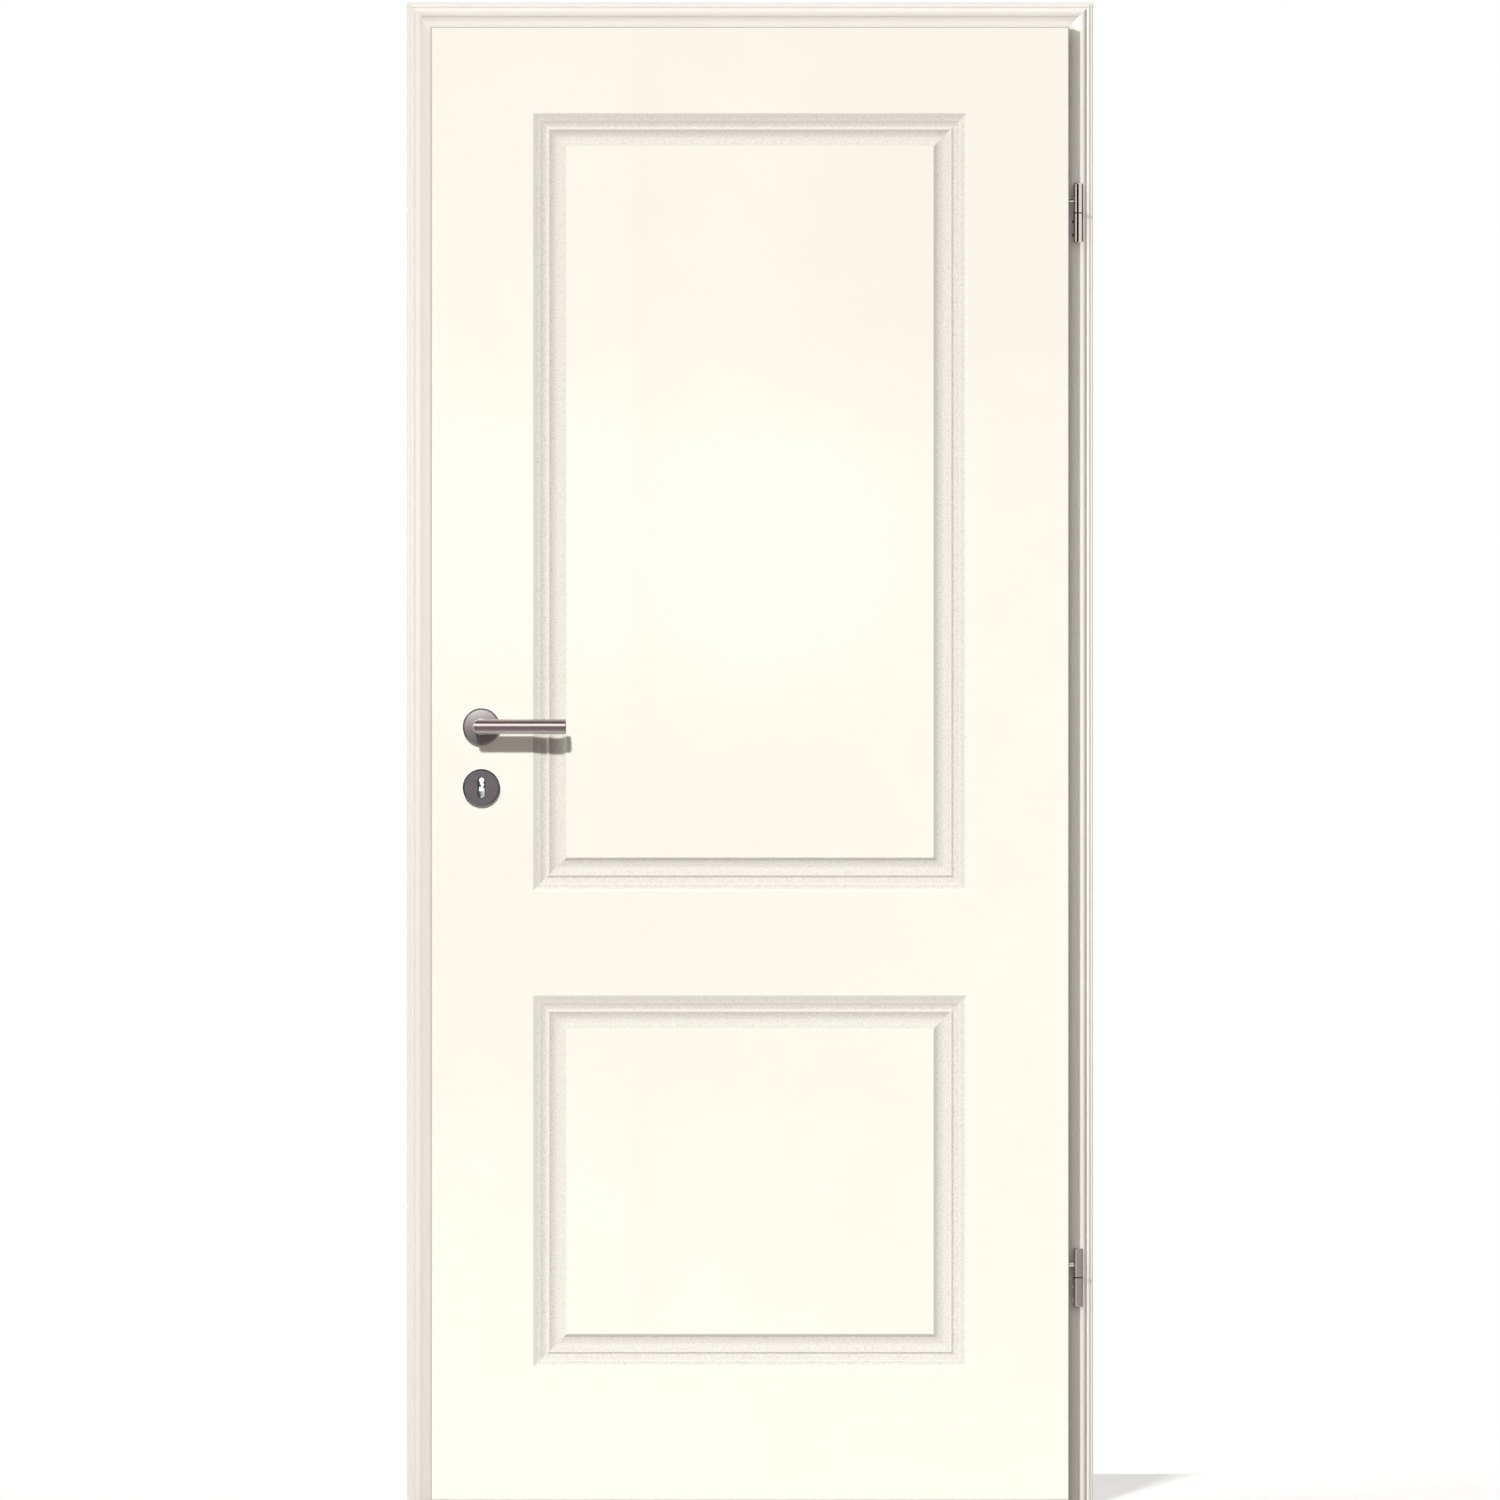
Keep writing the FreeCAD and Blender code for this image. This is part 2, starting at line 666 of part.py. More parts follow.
def lever(out):
    """A mitred round lever: the neck comes out of the rose and the grip turns towards the hinges."""
    radius = GRIP_DIAMETER / 2
    seat = leaf_face if out < 0 else leaf_back
    grip_y = seat + out * GRIP_STAND_OFF
    corner = Vector(lever_x, grip_y, lever_z)
    past = out * 2 * radius
    neck = rod(radius, Vector(lever_x, seat + out * ROSE_TO_NECK, lever_z), corner + Vector(0, past, 0))
    grip = rod(radius, corner - Vector(2 * radius, 0, 0), Vector(lever_x + GRIP_REACH, grip_y, lever_z))
    ends = [e for e in grip.Edges if e.CenterOfMass.x > lever_x + GRIP_REACH - 0.01 and len(e.Vertexes) == 1]
    grip = grip.makeChamfer(GRIP_END_CHAMFER, ends)
    far = GRIP_REACH + GRIP_STAND_OFF

    def half_space(points):
        corners = [Vector(lever_x + x, grip_y + out * y, lever_z - far) for x, y in points]
        return Part.Face(Part.makePolygon(corners + corners[:1])).extrude(ALONG_Z * 2 * far)

    neck = neck.common(half_space([(-far, far), (far, -far), (-far, -far)]))
    grip = grip.common(half_space([(-far, far), (far, -far), (far, far)]))
    socket = spindle_bar(SPINDLE + 2 * SPINDLE_FIT)
    return neck.fuse(grip).removeSplitter().cut(socket)


def spindle_bar(width):
    half = width / 2
    into = SPINDLE_INTO_NECK
    return block(
        (lever_x - half, lever_x + half),
        (leaf_face - into, leaf_back + into),
        (lever_z - half, lever_z + half),
    )


# Hinges and strike plate


def knuckle(z0, z1, end_z):
    bar = rod(KNUCKLE_RADIUS, Vector(hinge_x, hinge_y, z0), Vector(hinge_x, hinge_y, z1))
    rim = [e for e in bar.Edges if abs(e.CenterOfMass.z - end_z) < 0.01 and len(e.Vertexes) == 1]
    return bar.makeChamfer(KNUCKLE_CHAMFER, rim)


def hinge_leaf_part(z):
    low = z + KNUCKLE_GAP / 2
    body = knuckle(low, z + KNUCKLE_LENGTH, z + KNUCKLE_LENGTH)
    pin_z = z + LEAF_PIN_RISE
    start = Vector(hinge_x, hinge_y, pin_z)
    pin = rod(LEAF_PIN_RADIUS, start, Vector(lip_edge - LEAF_PIN_DEPTH, hinge_y, pin_z))
    bore = rod(AXLE_RADIUS + AXLE_CLEARANCE, Vector(hinge_x, hinge_y, z - 1), Vector(hinge_x, hinge_y, z + AXLE_RISE + 1))
    return body.fuse(pin).removeSplitter().cut(bore)


def hinge_frame_part(z):
    top = z - KNUCKLE_GAP / 2
    body = knuckle(z - KNUCKLE_LENGTH, top, z - KNUCKLE_LENGTH)
    axle = rod(AXLE_RADIUS, Vector(hinge_x, hinge_y, top - 10), Vector(hinge_x, hinge_y, z + AXLE_RISE))
    pins = [frame_pin(z - drop, FRAME_PIN_RADIUS, 0.0) for drop in FRAME_PIN_DROPS]
    return body.fuse([axle] + pins).removeSplitter()


def frame_pin(z, radius, longer):
    x = hinge_x - FRAME_PIN_OFFSET
    return rod(radius, Vector(x, hinge_y, z), Vector(x, FRAME_PIN_DEPTH + longer, z))


def frame_pin_holes():
    holes = []
    for z in (upper_hinge_z, lower_hinge_z):
        for drop in FRAME_PIN_DROPS:
            holes.append(frame_pin(z - drop, FRAME_PIN_RADIUS + PIN_FIT, PIN_FIT))
    return holes


def strike_holes(deep):
    """The holes for latch and bolt, as deep as asked from the rebate's face."""
    holes = []
    for z, height, thickness in (
        (latch_z, LATCH_HEIGHT, LATCH_THICKNESS),
        (bolt_z, BOLT_HEIGHT, BOLT_THICKNESS),
    ):
        half = thickness / 2 + STRIKE_EASE
        up = height / 2 + STRIKE_EASE
        y = (lock_middle - half, lock_middle + half)
        holes.append(block((-rebate_edge - deep, -rebate_edge + OVERRUN), y, (z - up, z + up)))
    return holes


def strike_angle(fit, past):
    """The folded plate round the casing's edge. fit widens it and past thickens it outwards, for its recess."""
    half = STRIKE_HEIGHT / 2 + fit
    z = (strike_middle - half, strike_middle + half)
    in_rebate = block(
        (-rebate_edge - STRIKE_THICKNESS, -rebate_edge + past),
        (band_face - past, band_face + STRIKE_WIDTH + fit),
        z,
    )
    under_lip = block(
        (-rebate_edge - STRIKE_FOLD - fit, -rebate_edge + past),
        (band_face - past, band_face + STRIKE_THICKNESS),
        z,
    )
    return in_rebate.fuse(under_lip).removeSplitter()


def strike_plate():
    sheet = strike_angle(0.0, 0.0)
    screws = []
    for end in (-1, 1):
        z = strike_middle + end * (STRIKE_HEIGHT / 2 - SCREW_INSET)
        start = Vector(-rebate_edge - STRIKE_THICKNESS - OVERRUN, lock_middle, z)
        screws.append(rod(SCREW_HOLE_RADIUS, start, start + ALONG_X * 2 * OVERRUN))
    return sheet.cut(strike_holes(STRIKE_THICKNESS + OVERRUN) + screws)


def export(name, shape):
    """Writes one piece, moved so that the origin lies on the wall side of the hinge jamb."""
    solids = shape.Solids
    placed = Part.makeCompound([s.translated(-ORIGIN) for s in solids]) if len(solids) > 1 else solids[0].translated(-ORIGIN)
    if not placed.isValid():
        print("not valid:", name)
    placed.exportStep(f"parts/{name}.step")
    print(f"{name}: {len(solids)} solid, {placed.Volume / 1000:.1f} cm3")


def main():
    os.makedirs("parts", exist_ok=True)
    side_casing, head_casing = front_casings()
    recess = strike_angle(STRIKE_FIT, OVERRUN)
    export("front_casing_latch_side", side_casing.cut([recess] + strike_holes(STRIKE_POCKET)))
    export("front_casing_hinge_side", mirrored(side_casing).cut(frame_pin_holes()))
    export("front_casing_head", head_casing)
    side_back, head_back = back_casings()
    export("back_casing_latch_side", side_back)
    export("back_casing_hinge_side", mirrored(side_back))
    export("back_casing_head", head_back)
    side_lining, head_lining = lining_boards()
    export("latch_jamb", side_lining)
    export("hinge_jamb", mirrored(side_lining))
    export("head_jamb", head_lining)
    side_seal, head_seal = seals()
    export("seal_latch_side", side_seal)
    export("seal_hinge_side", mirrored(side_seal))
    export("seal_head", head_seal)
    export("strike_plate", strike_plate())

    export("front_face_board", front_board())
    export("back_face_board", back_board())
    latch_stile, hinge_stile = stiles()
    export("latch_stile", latch_stile)
    export("hinge_stile", hinge_stile)
    export("top_rail", top_rail())
    export("bottom_rail", bottom_rail())
    export("leaf_core", core())
    export("lock_case", lock_case())
    export("lock_forend", forend())
    export("latch_bolt", bolt_block(LATCH_HEIGHT, LATCH_THICKNESS, latch_z))
    export("dead_bolt", bolt_block(BOLT_HEIGHT, BOLT_THICKNESS, bolt_z))
    for side, out in (("front", -1), ("back", 1)):
        seat = leaf_face if out < 0 else leaf_back
        reach = (seat - 2 * ROSE_THICKNESS, seat + 2 * ROSE_THICKNESS)
        neck = rod(GRIP_DIAMETER / 2 + NECK_CLEARANCE, Vector(lever_x, reach[0], lever_z), Vector(lever_x, reach[1], lever_z))
        export(f"{side}_lever_rose", rose(lever_z, neck, out))
        slot = slot_bar(KEY_SLOT_WIDTH, KEY_SLOT_HEIGHT, lever_x, key_rose_z, reach)
        export(f"{side}_key_rose", rose(key_rose_z, slot, out))
        export(f"{side}_lever", lever(out))
    export("spindle", spindle_bar(SPINDLE))
    for name, z in (("upper", upper_hinge_z), ("lower", lower_hinge_z)):
        export(f"{name}_hinge_leaf_part", hinge_leaf_part(z))
        export(f"{name}_hinge_frame_part", hinge_frame_part(z))


main()
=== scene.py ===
# %% [markdown]
# # A white interior door, dressed for a studio picture
# The solids of the door come in as a fixed frame: leaf, frame, levers, hinges and lock. They already have the real
# shapes, so most of the work here is surfaces and light, with small fittings added where the real door has them.
# The picture looks straight at the side that the door opens to, under light from the upper left. A white door on
# white ground has to be drawn by its shading alone: the grey of the routed mouldings and the thin dark line round
# the leaf, which are shade painted into the lacquer, and the soft shadow of the lever.

import math

import bmesh
import bpy
from mathutils import Matrix, Vector


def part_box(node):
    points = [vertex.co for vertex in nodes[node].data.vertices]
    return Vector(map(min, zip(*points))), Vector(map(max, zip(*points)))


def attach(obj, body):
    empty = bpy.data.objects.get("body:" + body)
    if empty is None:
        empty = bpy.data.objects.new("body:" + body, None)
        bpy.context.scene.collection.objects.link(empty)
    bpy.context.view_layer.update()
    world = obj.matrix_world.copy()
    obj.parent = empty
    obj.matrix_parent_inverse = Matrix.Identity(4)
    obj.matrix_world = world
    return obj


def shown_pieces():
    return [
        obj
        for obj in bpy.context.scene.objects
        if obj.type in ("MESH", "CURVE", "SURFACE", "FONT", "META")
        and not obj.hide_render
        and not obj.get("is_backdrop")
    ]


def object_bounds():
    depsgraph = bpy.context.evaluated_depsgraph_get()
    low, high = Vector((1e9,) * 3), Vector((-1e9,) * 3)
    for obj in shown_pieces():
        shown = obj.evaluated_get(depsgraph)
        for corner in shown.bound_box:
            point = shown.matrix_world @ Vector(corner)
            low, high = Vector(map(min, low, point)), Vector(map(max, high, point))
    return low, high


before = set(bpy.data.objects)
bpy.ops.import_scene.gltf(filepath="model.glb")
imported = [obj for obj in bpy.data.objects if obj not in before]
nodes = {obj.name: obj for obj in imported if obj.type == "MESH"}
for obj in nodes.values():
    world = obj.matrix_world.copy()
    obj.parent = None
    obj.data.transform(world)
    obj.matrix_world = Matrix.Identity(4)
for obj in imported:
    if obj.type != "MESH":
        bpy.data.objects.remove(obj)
cad_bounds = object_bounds()
MM = 0.001
print("loaded", len(nodes), "pieces; the door measures", [round(v, 3) for v in cad_bounds[1] - cad_bounds[0]])

# %% [markdown]
# ## Helpers
# Colours are written as on a paint card, in sRGB hex, and turned to the linear values that the renderer works in.
# One function adds a shader node, sets its sockets and links it, so that each material reads as a short list.


# %% Colour and node helpers
def paint(code):
    """A hex colour such as FEFCF0 as linear red, green, blue and alpha."""
    shares = [int(code[i : i + 2], 16) / 255 for i in (0, 2, 4)]
    return [s / 12.92 if s <= 0.04045 else ((s + 0.055) / 1.055) ** 2.4 for s in shares] + [1.0]


def add(tree, kind, sockets=None, **settings):
    """Adds a node. settings are its own fields; sockets maps an input's name or number to a value or an output."""
    node = tree.nodes.new(kind)
    for name, value in settings.items():
        setattr(node, name, value)
    for name, value in (sockets or {}).items():
        if isinstance(value, bpy.types.NodeSocket):
            tree.links.new(value, node.inputs[name])
        else:
            node.inputs[name].default_value = value
    return node


def new_material(name):
    """An empty node material with its output; returns the material and its tree."""
    material = bpy.data.materials.new(name)
    material.use_nodes = True
    material.node_tree.nodes.clear()
    return material, material.node_tree


def finish_material(tree, shader):
    add(tree, "ShaderNodeOutputMaterial", {"Surface": shader.outputs[0]})


def dress(names, material):
    """Gives CAD pieces a material, in place of the plain one that they came with."""
    for name in names:
        slots = nodes[name].data.materials
        slots.clear()
        slots.append(material)


# %% [markdown]
# ## White lacquer on the leaf
# The face boards are fibre board under a sprayed, slightly creamy white lacquer. On the flat faces the board is
# sanded and the film is almost smooth, with a fine orange peel. Where the router cut the mouldings, and on the edges,
# the fibres stand up under the film in a fine grain, and the colour is greyer: that grey is painted shade, which the
# hollows would get from the light. How deep a point lies under the face tells the two apart, so one material serves
# the whole leaf. The crest of the bead is painted lighter than the hollow round it: a painted highlight that draws a
# thin light line round each panel. Along the arris of the leaf a thin grey line of painted shade is drawn.

# %% Leaf lacquer
LACQUER = "FEFCF0"
LACQUER_DRIFT = "FCFAED"
# painted shade: the routed parts get two greys that stand for the hollows' shade, and whose specks make the grain
ROUTED_SHADED = "ECEAE0"
ROUTED_SHADED_DARK = "D8D5CB"
GRAIN = 2.4 * MM
PEEL = 1.6 * MM
WAVINESS = 90 * MM
FACE_SKIN = (0.05 * MM, 2.0 * MM)  # from where the painted shade begins to where it is full, in depth under the face
BEAD_HIGHLIGHT = "FBF9F1"  # painted highlight: the crest of the bead in the moulding is painted light
BEAD_DEPTH = 2.76 * MM
BEAD_HIGHLIGHT_BAND = (0.1 * MM, 0.22 * MM)
# a thin grey line of painted shade along the front arris of the leaf
ARRIS_SHADE = "B9B6AC"
ARRIS_WIDTH = 1.3 * MM
leaf_low, leaf_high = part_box("front_face_board")[0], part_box("back_face_board")[1]
leaf_middle_y = (leaf_low.y + leaf_high.y) / 2
leaf_half = (leaf_high.y - leaf_low.y) / 2
lip_low, lip_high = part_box("front_face_board")
lip_middle_x = (lip_low.x + lip_high.x) / 2
lip_half = (lip_high.x - lip_low.x) / 2


def arris_shade_mask(tree, x, y, z):
    """1 along the front arris of the lip, where a thin grey line of painted shade is drawn, and 0 elsewhere."""
    from_middle = add(tree, "ShaderNodeMath", {0: x, 1: lip_middle_x}, operation="SUBTRACT").outputs[0]
    sideways = add(tree, "ShaderNodeMath", {0: from_middle}, operation="ABSOLUTE").outputs[0]
    at_side = add(tree, "ShaderNodeMath", {0: sideways, 1: lip_half - ARRIS_WIDTH}, operation="GREATER_THAN").outputs[0]
    at_top = add(tree, "ShaderNodeMath", {0: z, 1: lip_high.z - ARRIS_WIDTH}, operation="GREATER_THAN").outputs[0]
    at_edge = add(tree, "ShaderNodeMath", {0: at_side, 1: at_top}, operation="MAXIMUM").outputs[0]
    at_face = add(tree, "ShaderNodeMath", {0: y, 1: lip_low.y + ARRIS_WIDTH}, operation="LESS_THAN").outputs[0]
    return add(tree, "ShaderNodeMath", {0: at_edge, 1: at_face}, operation="MULTIPLY").outputs[0]


def leaf_lacquer():
    material, tree = new_material("white lacquer on fibre board")
    place = add(tree, "ShaderNodeTexCoord").outputs["Object"]
    axes = add(tree, "ShaderNodeSeparateXYZ", {"Vector": place}).outputs
    from_middle = add(tree, "ShaderNodeMath", {0: axes["Y"], 1: leaf_middle_y}, operation="SUBTRACT")
    outwards = add(tree, "ShaderNodeMath", {0: from_middle.outputs[0]}, operation="ABSOLUTE")
    # the routed parts, found by their depth under the face, get the painted shade, a duller film and the fibres
    routed_and_shaded = add(
        tree,
        "ShaderNodeMapRange",
        {"Value": outwards.outputs[0], "From Min": leaf_half - FACE_SKIN[0], "From Max": leaf_half - FACE_SKIN[1]},
    ).outputs["Result"]
    grain = add(tree, "ShaderNodeTexNoise", {"Vector": place, "Scale": 1 / GRAIN, "Detail": 3.0, "Roughness": 0.7})
    grain = grain.outputs["Fac"]
    wave = add(tree, "ShaderNodeTexNoise", {"Vector": place, "Scale": 1 / WAVINESS, "Detail": 1.0}).outputs["Fac"]
    # the sanded face: a creamy white that drifts a little, as a large sprayed surface does
    flat = add(
        tree, "ShaderNodeMix", {"Factor": wave, 6: paint(LACQUER), 7: paint(LACQUER_DRIFT)}, data_type="RGBA"
    )
    # the routed wood: two greys in fine specks, which the eye reads as raised fibres under the film;
    # their grey is painted shade for the hollows
    grain_specks = add(tree, "ShaderNodeMapRange", {"Value": grain, "From Min": 0.42, "From Max": 0.68})
    shade_and_highlight_colour = add(
        tree,
        "ShaderNodeMix",
        {"Factor": grain_specks.outputs["Result"], 6: paint(ROUTED_SHADED), 7: paint(ROUTED_SHADED_DARK)},
        data_type="RGBA",
    )
    # the bead's crest, found by its depth: a painted highlight, the light line that makes the moulding crisp
    from_bead = add(tree, "ShaderNodeMath", {0: outwards.outputs[0], 1: leaf_half - BEAD_DEPTH}, operation="SUBTRACT")
    from_bead = add(tree, "ShaderNodeMath", {0: from_bead.outputs[0]}, operation="ABSOLUTE").outputs[0]
    bead = add(
        tree,
        "ShaderNodeMapRange",
        {"Value": from_bead, "From Min": BEAD_HIGHLIGHT_BAND[0], "From Max": BEAD_HIGHLIGHT_BAND[1], "To Min": 1.0, "To Max": 0.0},
    ).outputs["Result"]
    shade_and_highlight_colour = add(
        tree, "ShaderNodeMix", {"Factor": bead, 6: shade_and_highlight_colour.outputs[2], 7: paint(BEAD_HIGHLIGHT)}, data_type="RGBA"
    )
    colour = add(
        tree,
        "ShaderNodeMix",
        {"Factor": routed_and_shaded, 6: flat.outputs[2], 7: shade_and_highlight_colour.outputs[2]},
        data_type="RGBA",
    )
    # the thin dark line round the leaf: painted shade on the lip's front arris
    arris = arris_shade_mask(tree, axes["X"], axes["Y"], axes["Z"])
    colour = add(tree, "ShaderNodeMix", {"Factor": arris, 6: colour.outputs[2], 7: paint(ARRIS_SHADE)}, data_type="RGBA")
    # orange peel breaks up the gloss on the face, and the fibres make the routed parts dull
    peel = add(tree, "ShaderNodeTexNoise", {"Vector": place, "Scale": 1 / PEEL, "Detail": 2.0}).outputs["Fac"]
    film = add(tree, "ShaderNodeBump", {"Height": peel, "Strength": 0.15, "Distance": 0.02 * MM})
    fibre_height = add(tree, "ShaderNodeMath", {0: grain, 1: routed_and_shaded}, operation="MULTIPLY")
    fibres = add(
        tree,
        "ShaderNodeBump",
        {
            "Height": fibre_height.outputs[0],
            "Strength": 0.6,
            "Distance": 0.25 * MM,
            "Normal": film.outputs["Normal"],
        },
    )
    gloss = add(tree, "ShaderNodeMapRange", {"Value": routed_and_shaded, "To Min": 0.38, "To Max": 0.6})
    shader = add(
        tree,
        "ShaderNodeBsdfPrincipled",
        {
            "Base Color": colour.outputs[2],
            "Roughness": gloss.outputs["Result"],
            "Normal": fibres.outputs["Normal"],
        },
    )
    finish_material(tree, shader)
    return material


dress(["front_face_board", "back_face_board", "latch_stile", "hinge_stile", "top_rail"], leaf_lacquer())
print("lacquered the leaf, with grain deeper than", FACE_SKIN[1] / MM, "mm")

# %% [markdown]
# ## White foil on the frame
# Casings and linings are fibre board wrapped in a white foil with a lacquer look. A machine presses the foil onto
# the profile with rollers, so it follows each groove, and it is the same on the face and in the hollows. That is why
# the frame has one colour at all depths, where the leaf's hollows are painted a greyer shade. It is a little greyer
# and less creamy than the lacquer beside it, which sets the frame off from the leaf. A fine grain stops it from
# looking like plastic.

# %% Frame foil
FOIL = "F5F2EA"
FOIL_DARK = "EEEBE2"


def frame_foil():
    material, tree = new_material("white foil on fibre board")
    place = add(tree, "ShaderNodeTexCoord").outputs["Object"]
    grain = add(tree, "ShaderNodeTexNoise", {"Vector": place, "Scale": 1 / GRAIN, "Detail": 2.0}).outputs["Fac"]
    colour = add(
        tree, "ShaderNodeMix", {"Factor": grain, 6: paint(FOIL), 7: paint(FOIL_DARK)}, data_type="RGBA"
    )
    bump = add(tree, "ShaderNodeBump", {"Height": grain, "Strength": 0.2, "Distance": 0.05 * MM})
    shader = add(
        tree,
        "ShaderNodeBsdfPrincipled",
        {"Base Color": colour.outputs[2], "Roughness": 0.45, "Normal": bump.outputs["Normal"]},
    )
    finish_material(tree, shader)
    return material


foiled = [name for name in nodes if "casing" in name or "jamb" in name]
dress(foiled, frame_foil())
print("foiled", len(foiled), "frame pieces")

# %% [markdown]
# ## Metals
# The levers and roses are stainless steel that was ground with a fine belt. The grinding leaves short scratches along
# the grip, which draw a highlight out across them. The hinges are steel with a smooth nickel plate, which mirrors its
# surroundings in upright stripes. The lock's case is zinc-plated sheet, dull and mottled, and only shows at the edge.
# All of them are one recipe: a noise that is stretched along the strokes drives the roughness and a very low relief.
# The face of the lever's rose is turned a little crowned. The mesh is flat there, so a bump gives it the crown, and
# the rose shades from light at the top to dark at the foot.

# %% Brushed and plated metal
STAINLESS = "B3A9A8"
SCRATCH = 0.4 * MM  # real scratches are finer; these are as coarse as they need to be to show
SCRATCH_DEPTH = 0.001 * MM
DOME_RADIUS = 290 * MM
JOINT_HALF = 0.8 * MM  # half the height of the line of painted shade where two knuckles meet
# painted shade: the dark line where two knuckles meet
JOINT_SHADE = "4A403C"


def brushed_metal(name, code, roughness, stretch, dome=None, joints=()):
    """A metal whose scratches run along the axis with the small number in stretch. dome is the middle of a round
    face that was turned a little crowned, so that it shades from one side to the other. joints are the heights at
    which two knuckles meet, where a thin dark line is painted as shade."""
    material, tree = new_material(name)
    place = add(tree, "ShaderNodeTexCoord").outputs["Object"]
    strokes = add(tree, "ShaderNodeMapping", {"Vector": place, "Scale": stretch}).outputs["Vector"]
    scratches = add(tree, "ShaderNodeTexNoise", {"Vector": strokes, "Scale": 1 / SCRATCH, "Detail": 2.0}).outputs["Fac"]
    rough = add(
        tree, "ShaderNodeMapRange", {"Value": scratches, "To Min": roughness * 0.75, "To Max": roughness * 1.25}
    )
    bump = add(tree, "ShaderNodeBump", {"Height": scratches, "Strength": 0.3, "Distance": SCRATCH_DEPTH})
    if dome:
        level = add(tree, "ShaderNodeMapping", {"Vector": place, "Location": (-dome.x, 0, -dome.z), "Scale": (1, 0, 1)})
        away = add(tree, "ShaderNodeVectorMath", {0: level.outputs["Vector"]}, operation="LENGTH").outputs["Value"]
        square = add(tree, "ShaderNodeMath", {0: away, 1: 2.0}, operation="POWER").outputs[0]
        height = add(tree, "ShaderNodeMath", {0: square, 1: -0.5 / DOME_RADIUS}, operation="MULTIPLY").outputs[0]
        bump = add(tree, "ShaderNodeBump", {"Height": height, "Distance": 1.0, "Normal": bump.outputs["Normal"]})
    # where two knuckles meet, a thin dark line round the hinge is painted shade for the gap between them
    colour = paint(code)
    for joint in joints:
        up = add(tree, "ShaderNodeSeparateXYZ", {"Vector": place}).outputs["Z"]
        away = add(tree, "ShaderNodeMath", {0: up, 1: joint}, operation="SUBTRACT").outputs[0]
        away = add(tree, "ShaderNodeMath", {0: away}, operation="ABSOLUTE").outputs[0]
        in_joint_shade = add(tree, "ShaderNodeMath", {0: away, 1: JOINT_HALF}, operation="LESS_THAN").outputs[0]
        colour = add(tree, "ShaderNodeMix", {"Factor": in_joint_shade, 6: colour, 7: paint(JOINT_SHADE)}, data_type="RGBA")
        colour = colour.outputs[2]
    shader = add(
        tree,
        "ShaderNodeBsdfPrincipled",
        {
            "Base Color": colour,
            "Metallic": 1.0,
            "Roughness": rough.outputs["Result"],
            "Normal": bump.outputs["Normal"],
        },
    )
    finish_material(tree, shader)
    return material


ALONG_X = (0.03, 1.0, 1.0)
ALONG_Z = (1.0, 1.0, 0.03)
levers = ["front_lever", "back_lever"]
lever_roses = ["front_lever_rose", "back_lever_rose"]
key_roses = ["front_key_rose", "back_key_rose"]
hinges = [name for name in nodes if "hinge_leaf_part" in name or "hinge_frame_part" in name]
# a warm grey steel with clear bands of light along the grip
stainless = brushed_metal("brushed stainless steel", STAINLESS, 0.2, ALONG_X)


def middle(name):
    low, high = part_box(name)
    return (low + high) / 2


dress(levers, stainless)
# duller than the grip, so that it stays behind it as a soft round patch; its steel is painted darker, as shade
dress(lever_roses, brushed_metal("satin stainless steel", "7B7677", 0.36, ALONG_X, middle("front_lever_rose")))
# the key rose is flat and looks away from the lamps; its steel is painted darker still, as shade: an even dark
# disc with the keyhole's light in it
dress(key_roses, brushed_metal("satin stainless steel with painted shade", "706C6F", 0.3, ALONG_X))
# the brightest metal on the door, near a mirror, so that its stripes are sharp
JOINT_GAP = 0.5 * MM
knuckle_joints = [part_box(place + "_hinge_leaf_part")[0].z - JOINT_GAP / 2 for place in ("upper", "lower")]
nickel = brushed_metal("satin nickel plate", "DFD5CF", 0.12, ALONG_Z, joints=knuckle_joints)
dress(hinges, nickel)
# what shows at the open edge: a satin strip, plated bolts in it, and the dull case behind
strip = brushed_metal("ground stainless strip", "B5AFAB", 0.3, ALONG_Z)
dress(["strike_plate", "lock_forend"], strip)
dress(["latch_bolt", "dead_bolt", "spindle"], brushed_metal("nickel-plated steel", "BDB6AE", 0.3, ALONG_X))
dress(["lock_case"], brushed_metal("zinc-plated sheet steel", "A9ACAE", 0.45, ALONG_Z))
print("metal on", len(levers + lever_roses + key_roses + hinges) + 6, "pieces")

# %% [markdown]
# ## Rubber, nylon, timber and chipboard
# The seal in the rebate is a soft white profile, the guide rings are moulded nylon, the rail at the leaf's foot is
# bare spruce because nobody lacquers it, and the core is chipboard. All four are two close colours in a pattern of
# their own size: even and fine for what is moulded, drawn out along the fibres for the timber, and in flakes for the
# chipboard. One recipe with the sizes as its values serves them all.


# %% Rubber, nylon, timber and chipboard
def two_tone(name, light, dark, size, roughness, relief, stretch=(1.0, 1.0, 1.0)):
    """A dull material in two colours. size is the pattern's period and relief its height, both in metres."""
    material, tree = new_material(name)
    place = add(tree, "ShaderNodeTexCoord").outputs["Object"]
    spread = add(tree, "ShaderNodeMapping", {"Vector": place, "Scale": stretch}).outputs["Vector"]
    pattern = add(tree, "ShaderNodeTexNoise", {"Vector": spread, "Scale": 1 / size, "Detail": 4.0}).outputs["Fac"]
    share = add(tree, "ShaderNodeMapRange", {"Value": pattern, "From Min": 0.35, "From Max": 0.65}).outputs["Result"]
    colour = add(tree, "ShaderNodeMix", {"Factor": share, 6: paint(light), 7: paint(dark)}, data_type="RGBA")
    bump = add(tree, "ShaderNodeBump", {"Height": pattern, "Strength": 0.5, "Distance": relief})
    shader = add(
        tree,
        "ShaderNodeBsdfPrincipled",
        {"Base Color": colour.outputs[2], "Roughness": roughness, "Normal": bump.outputs["Normal"]},
    )
    finish_material(tree, shader)
    return material


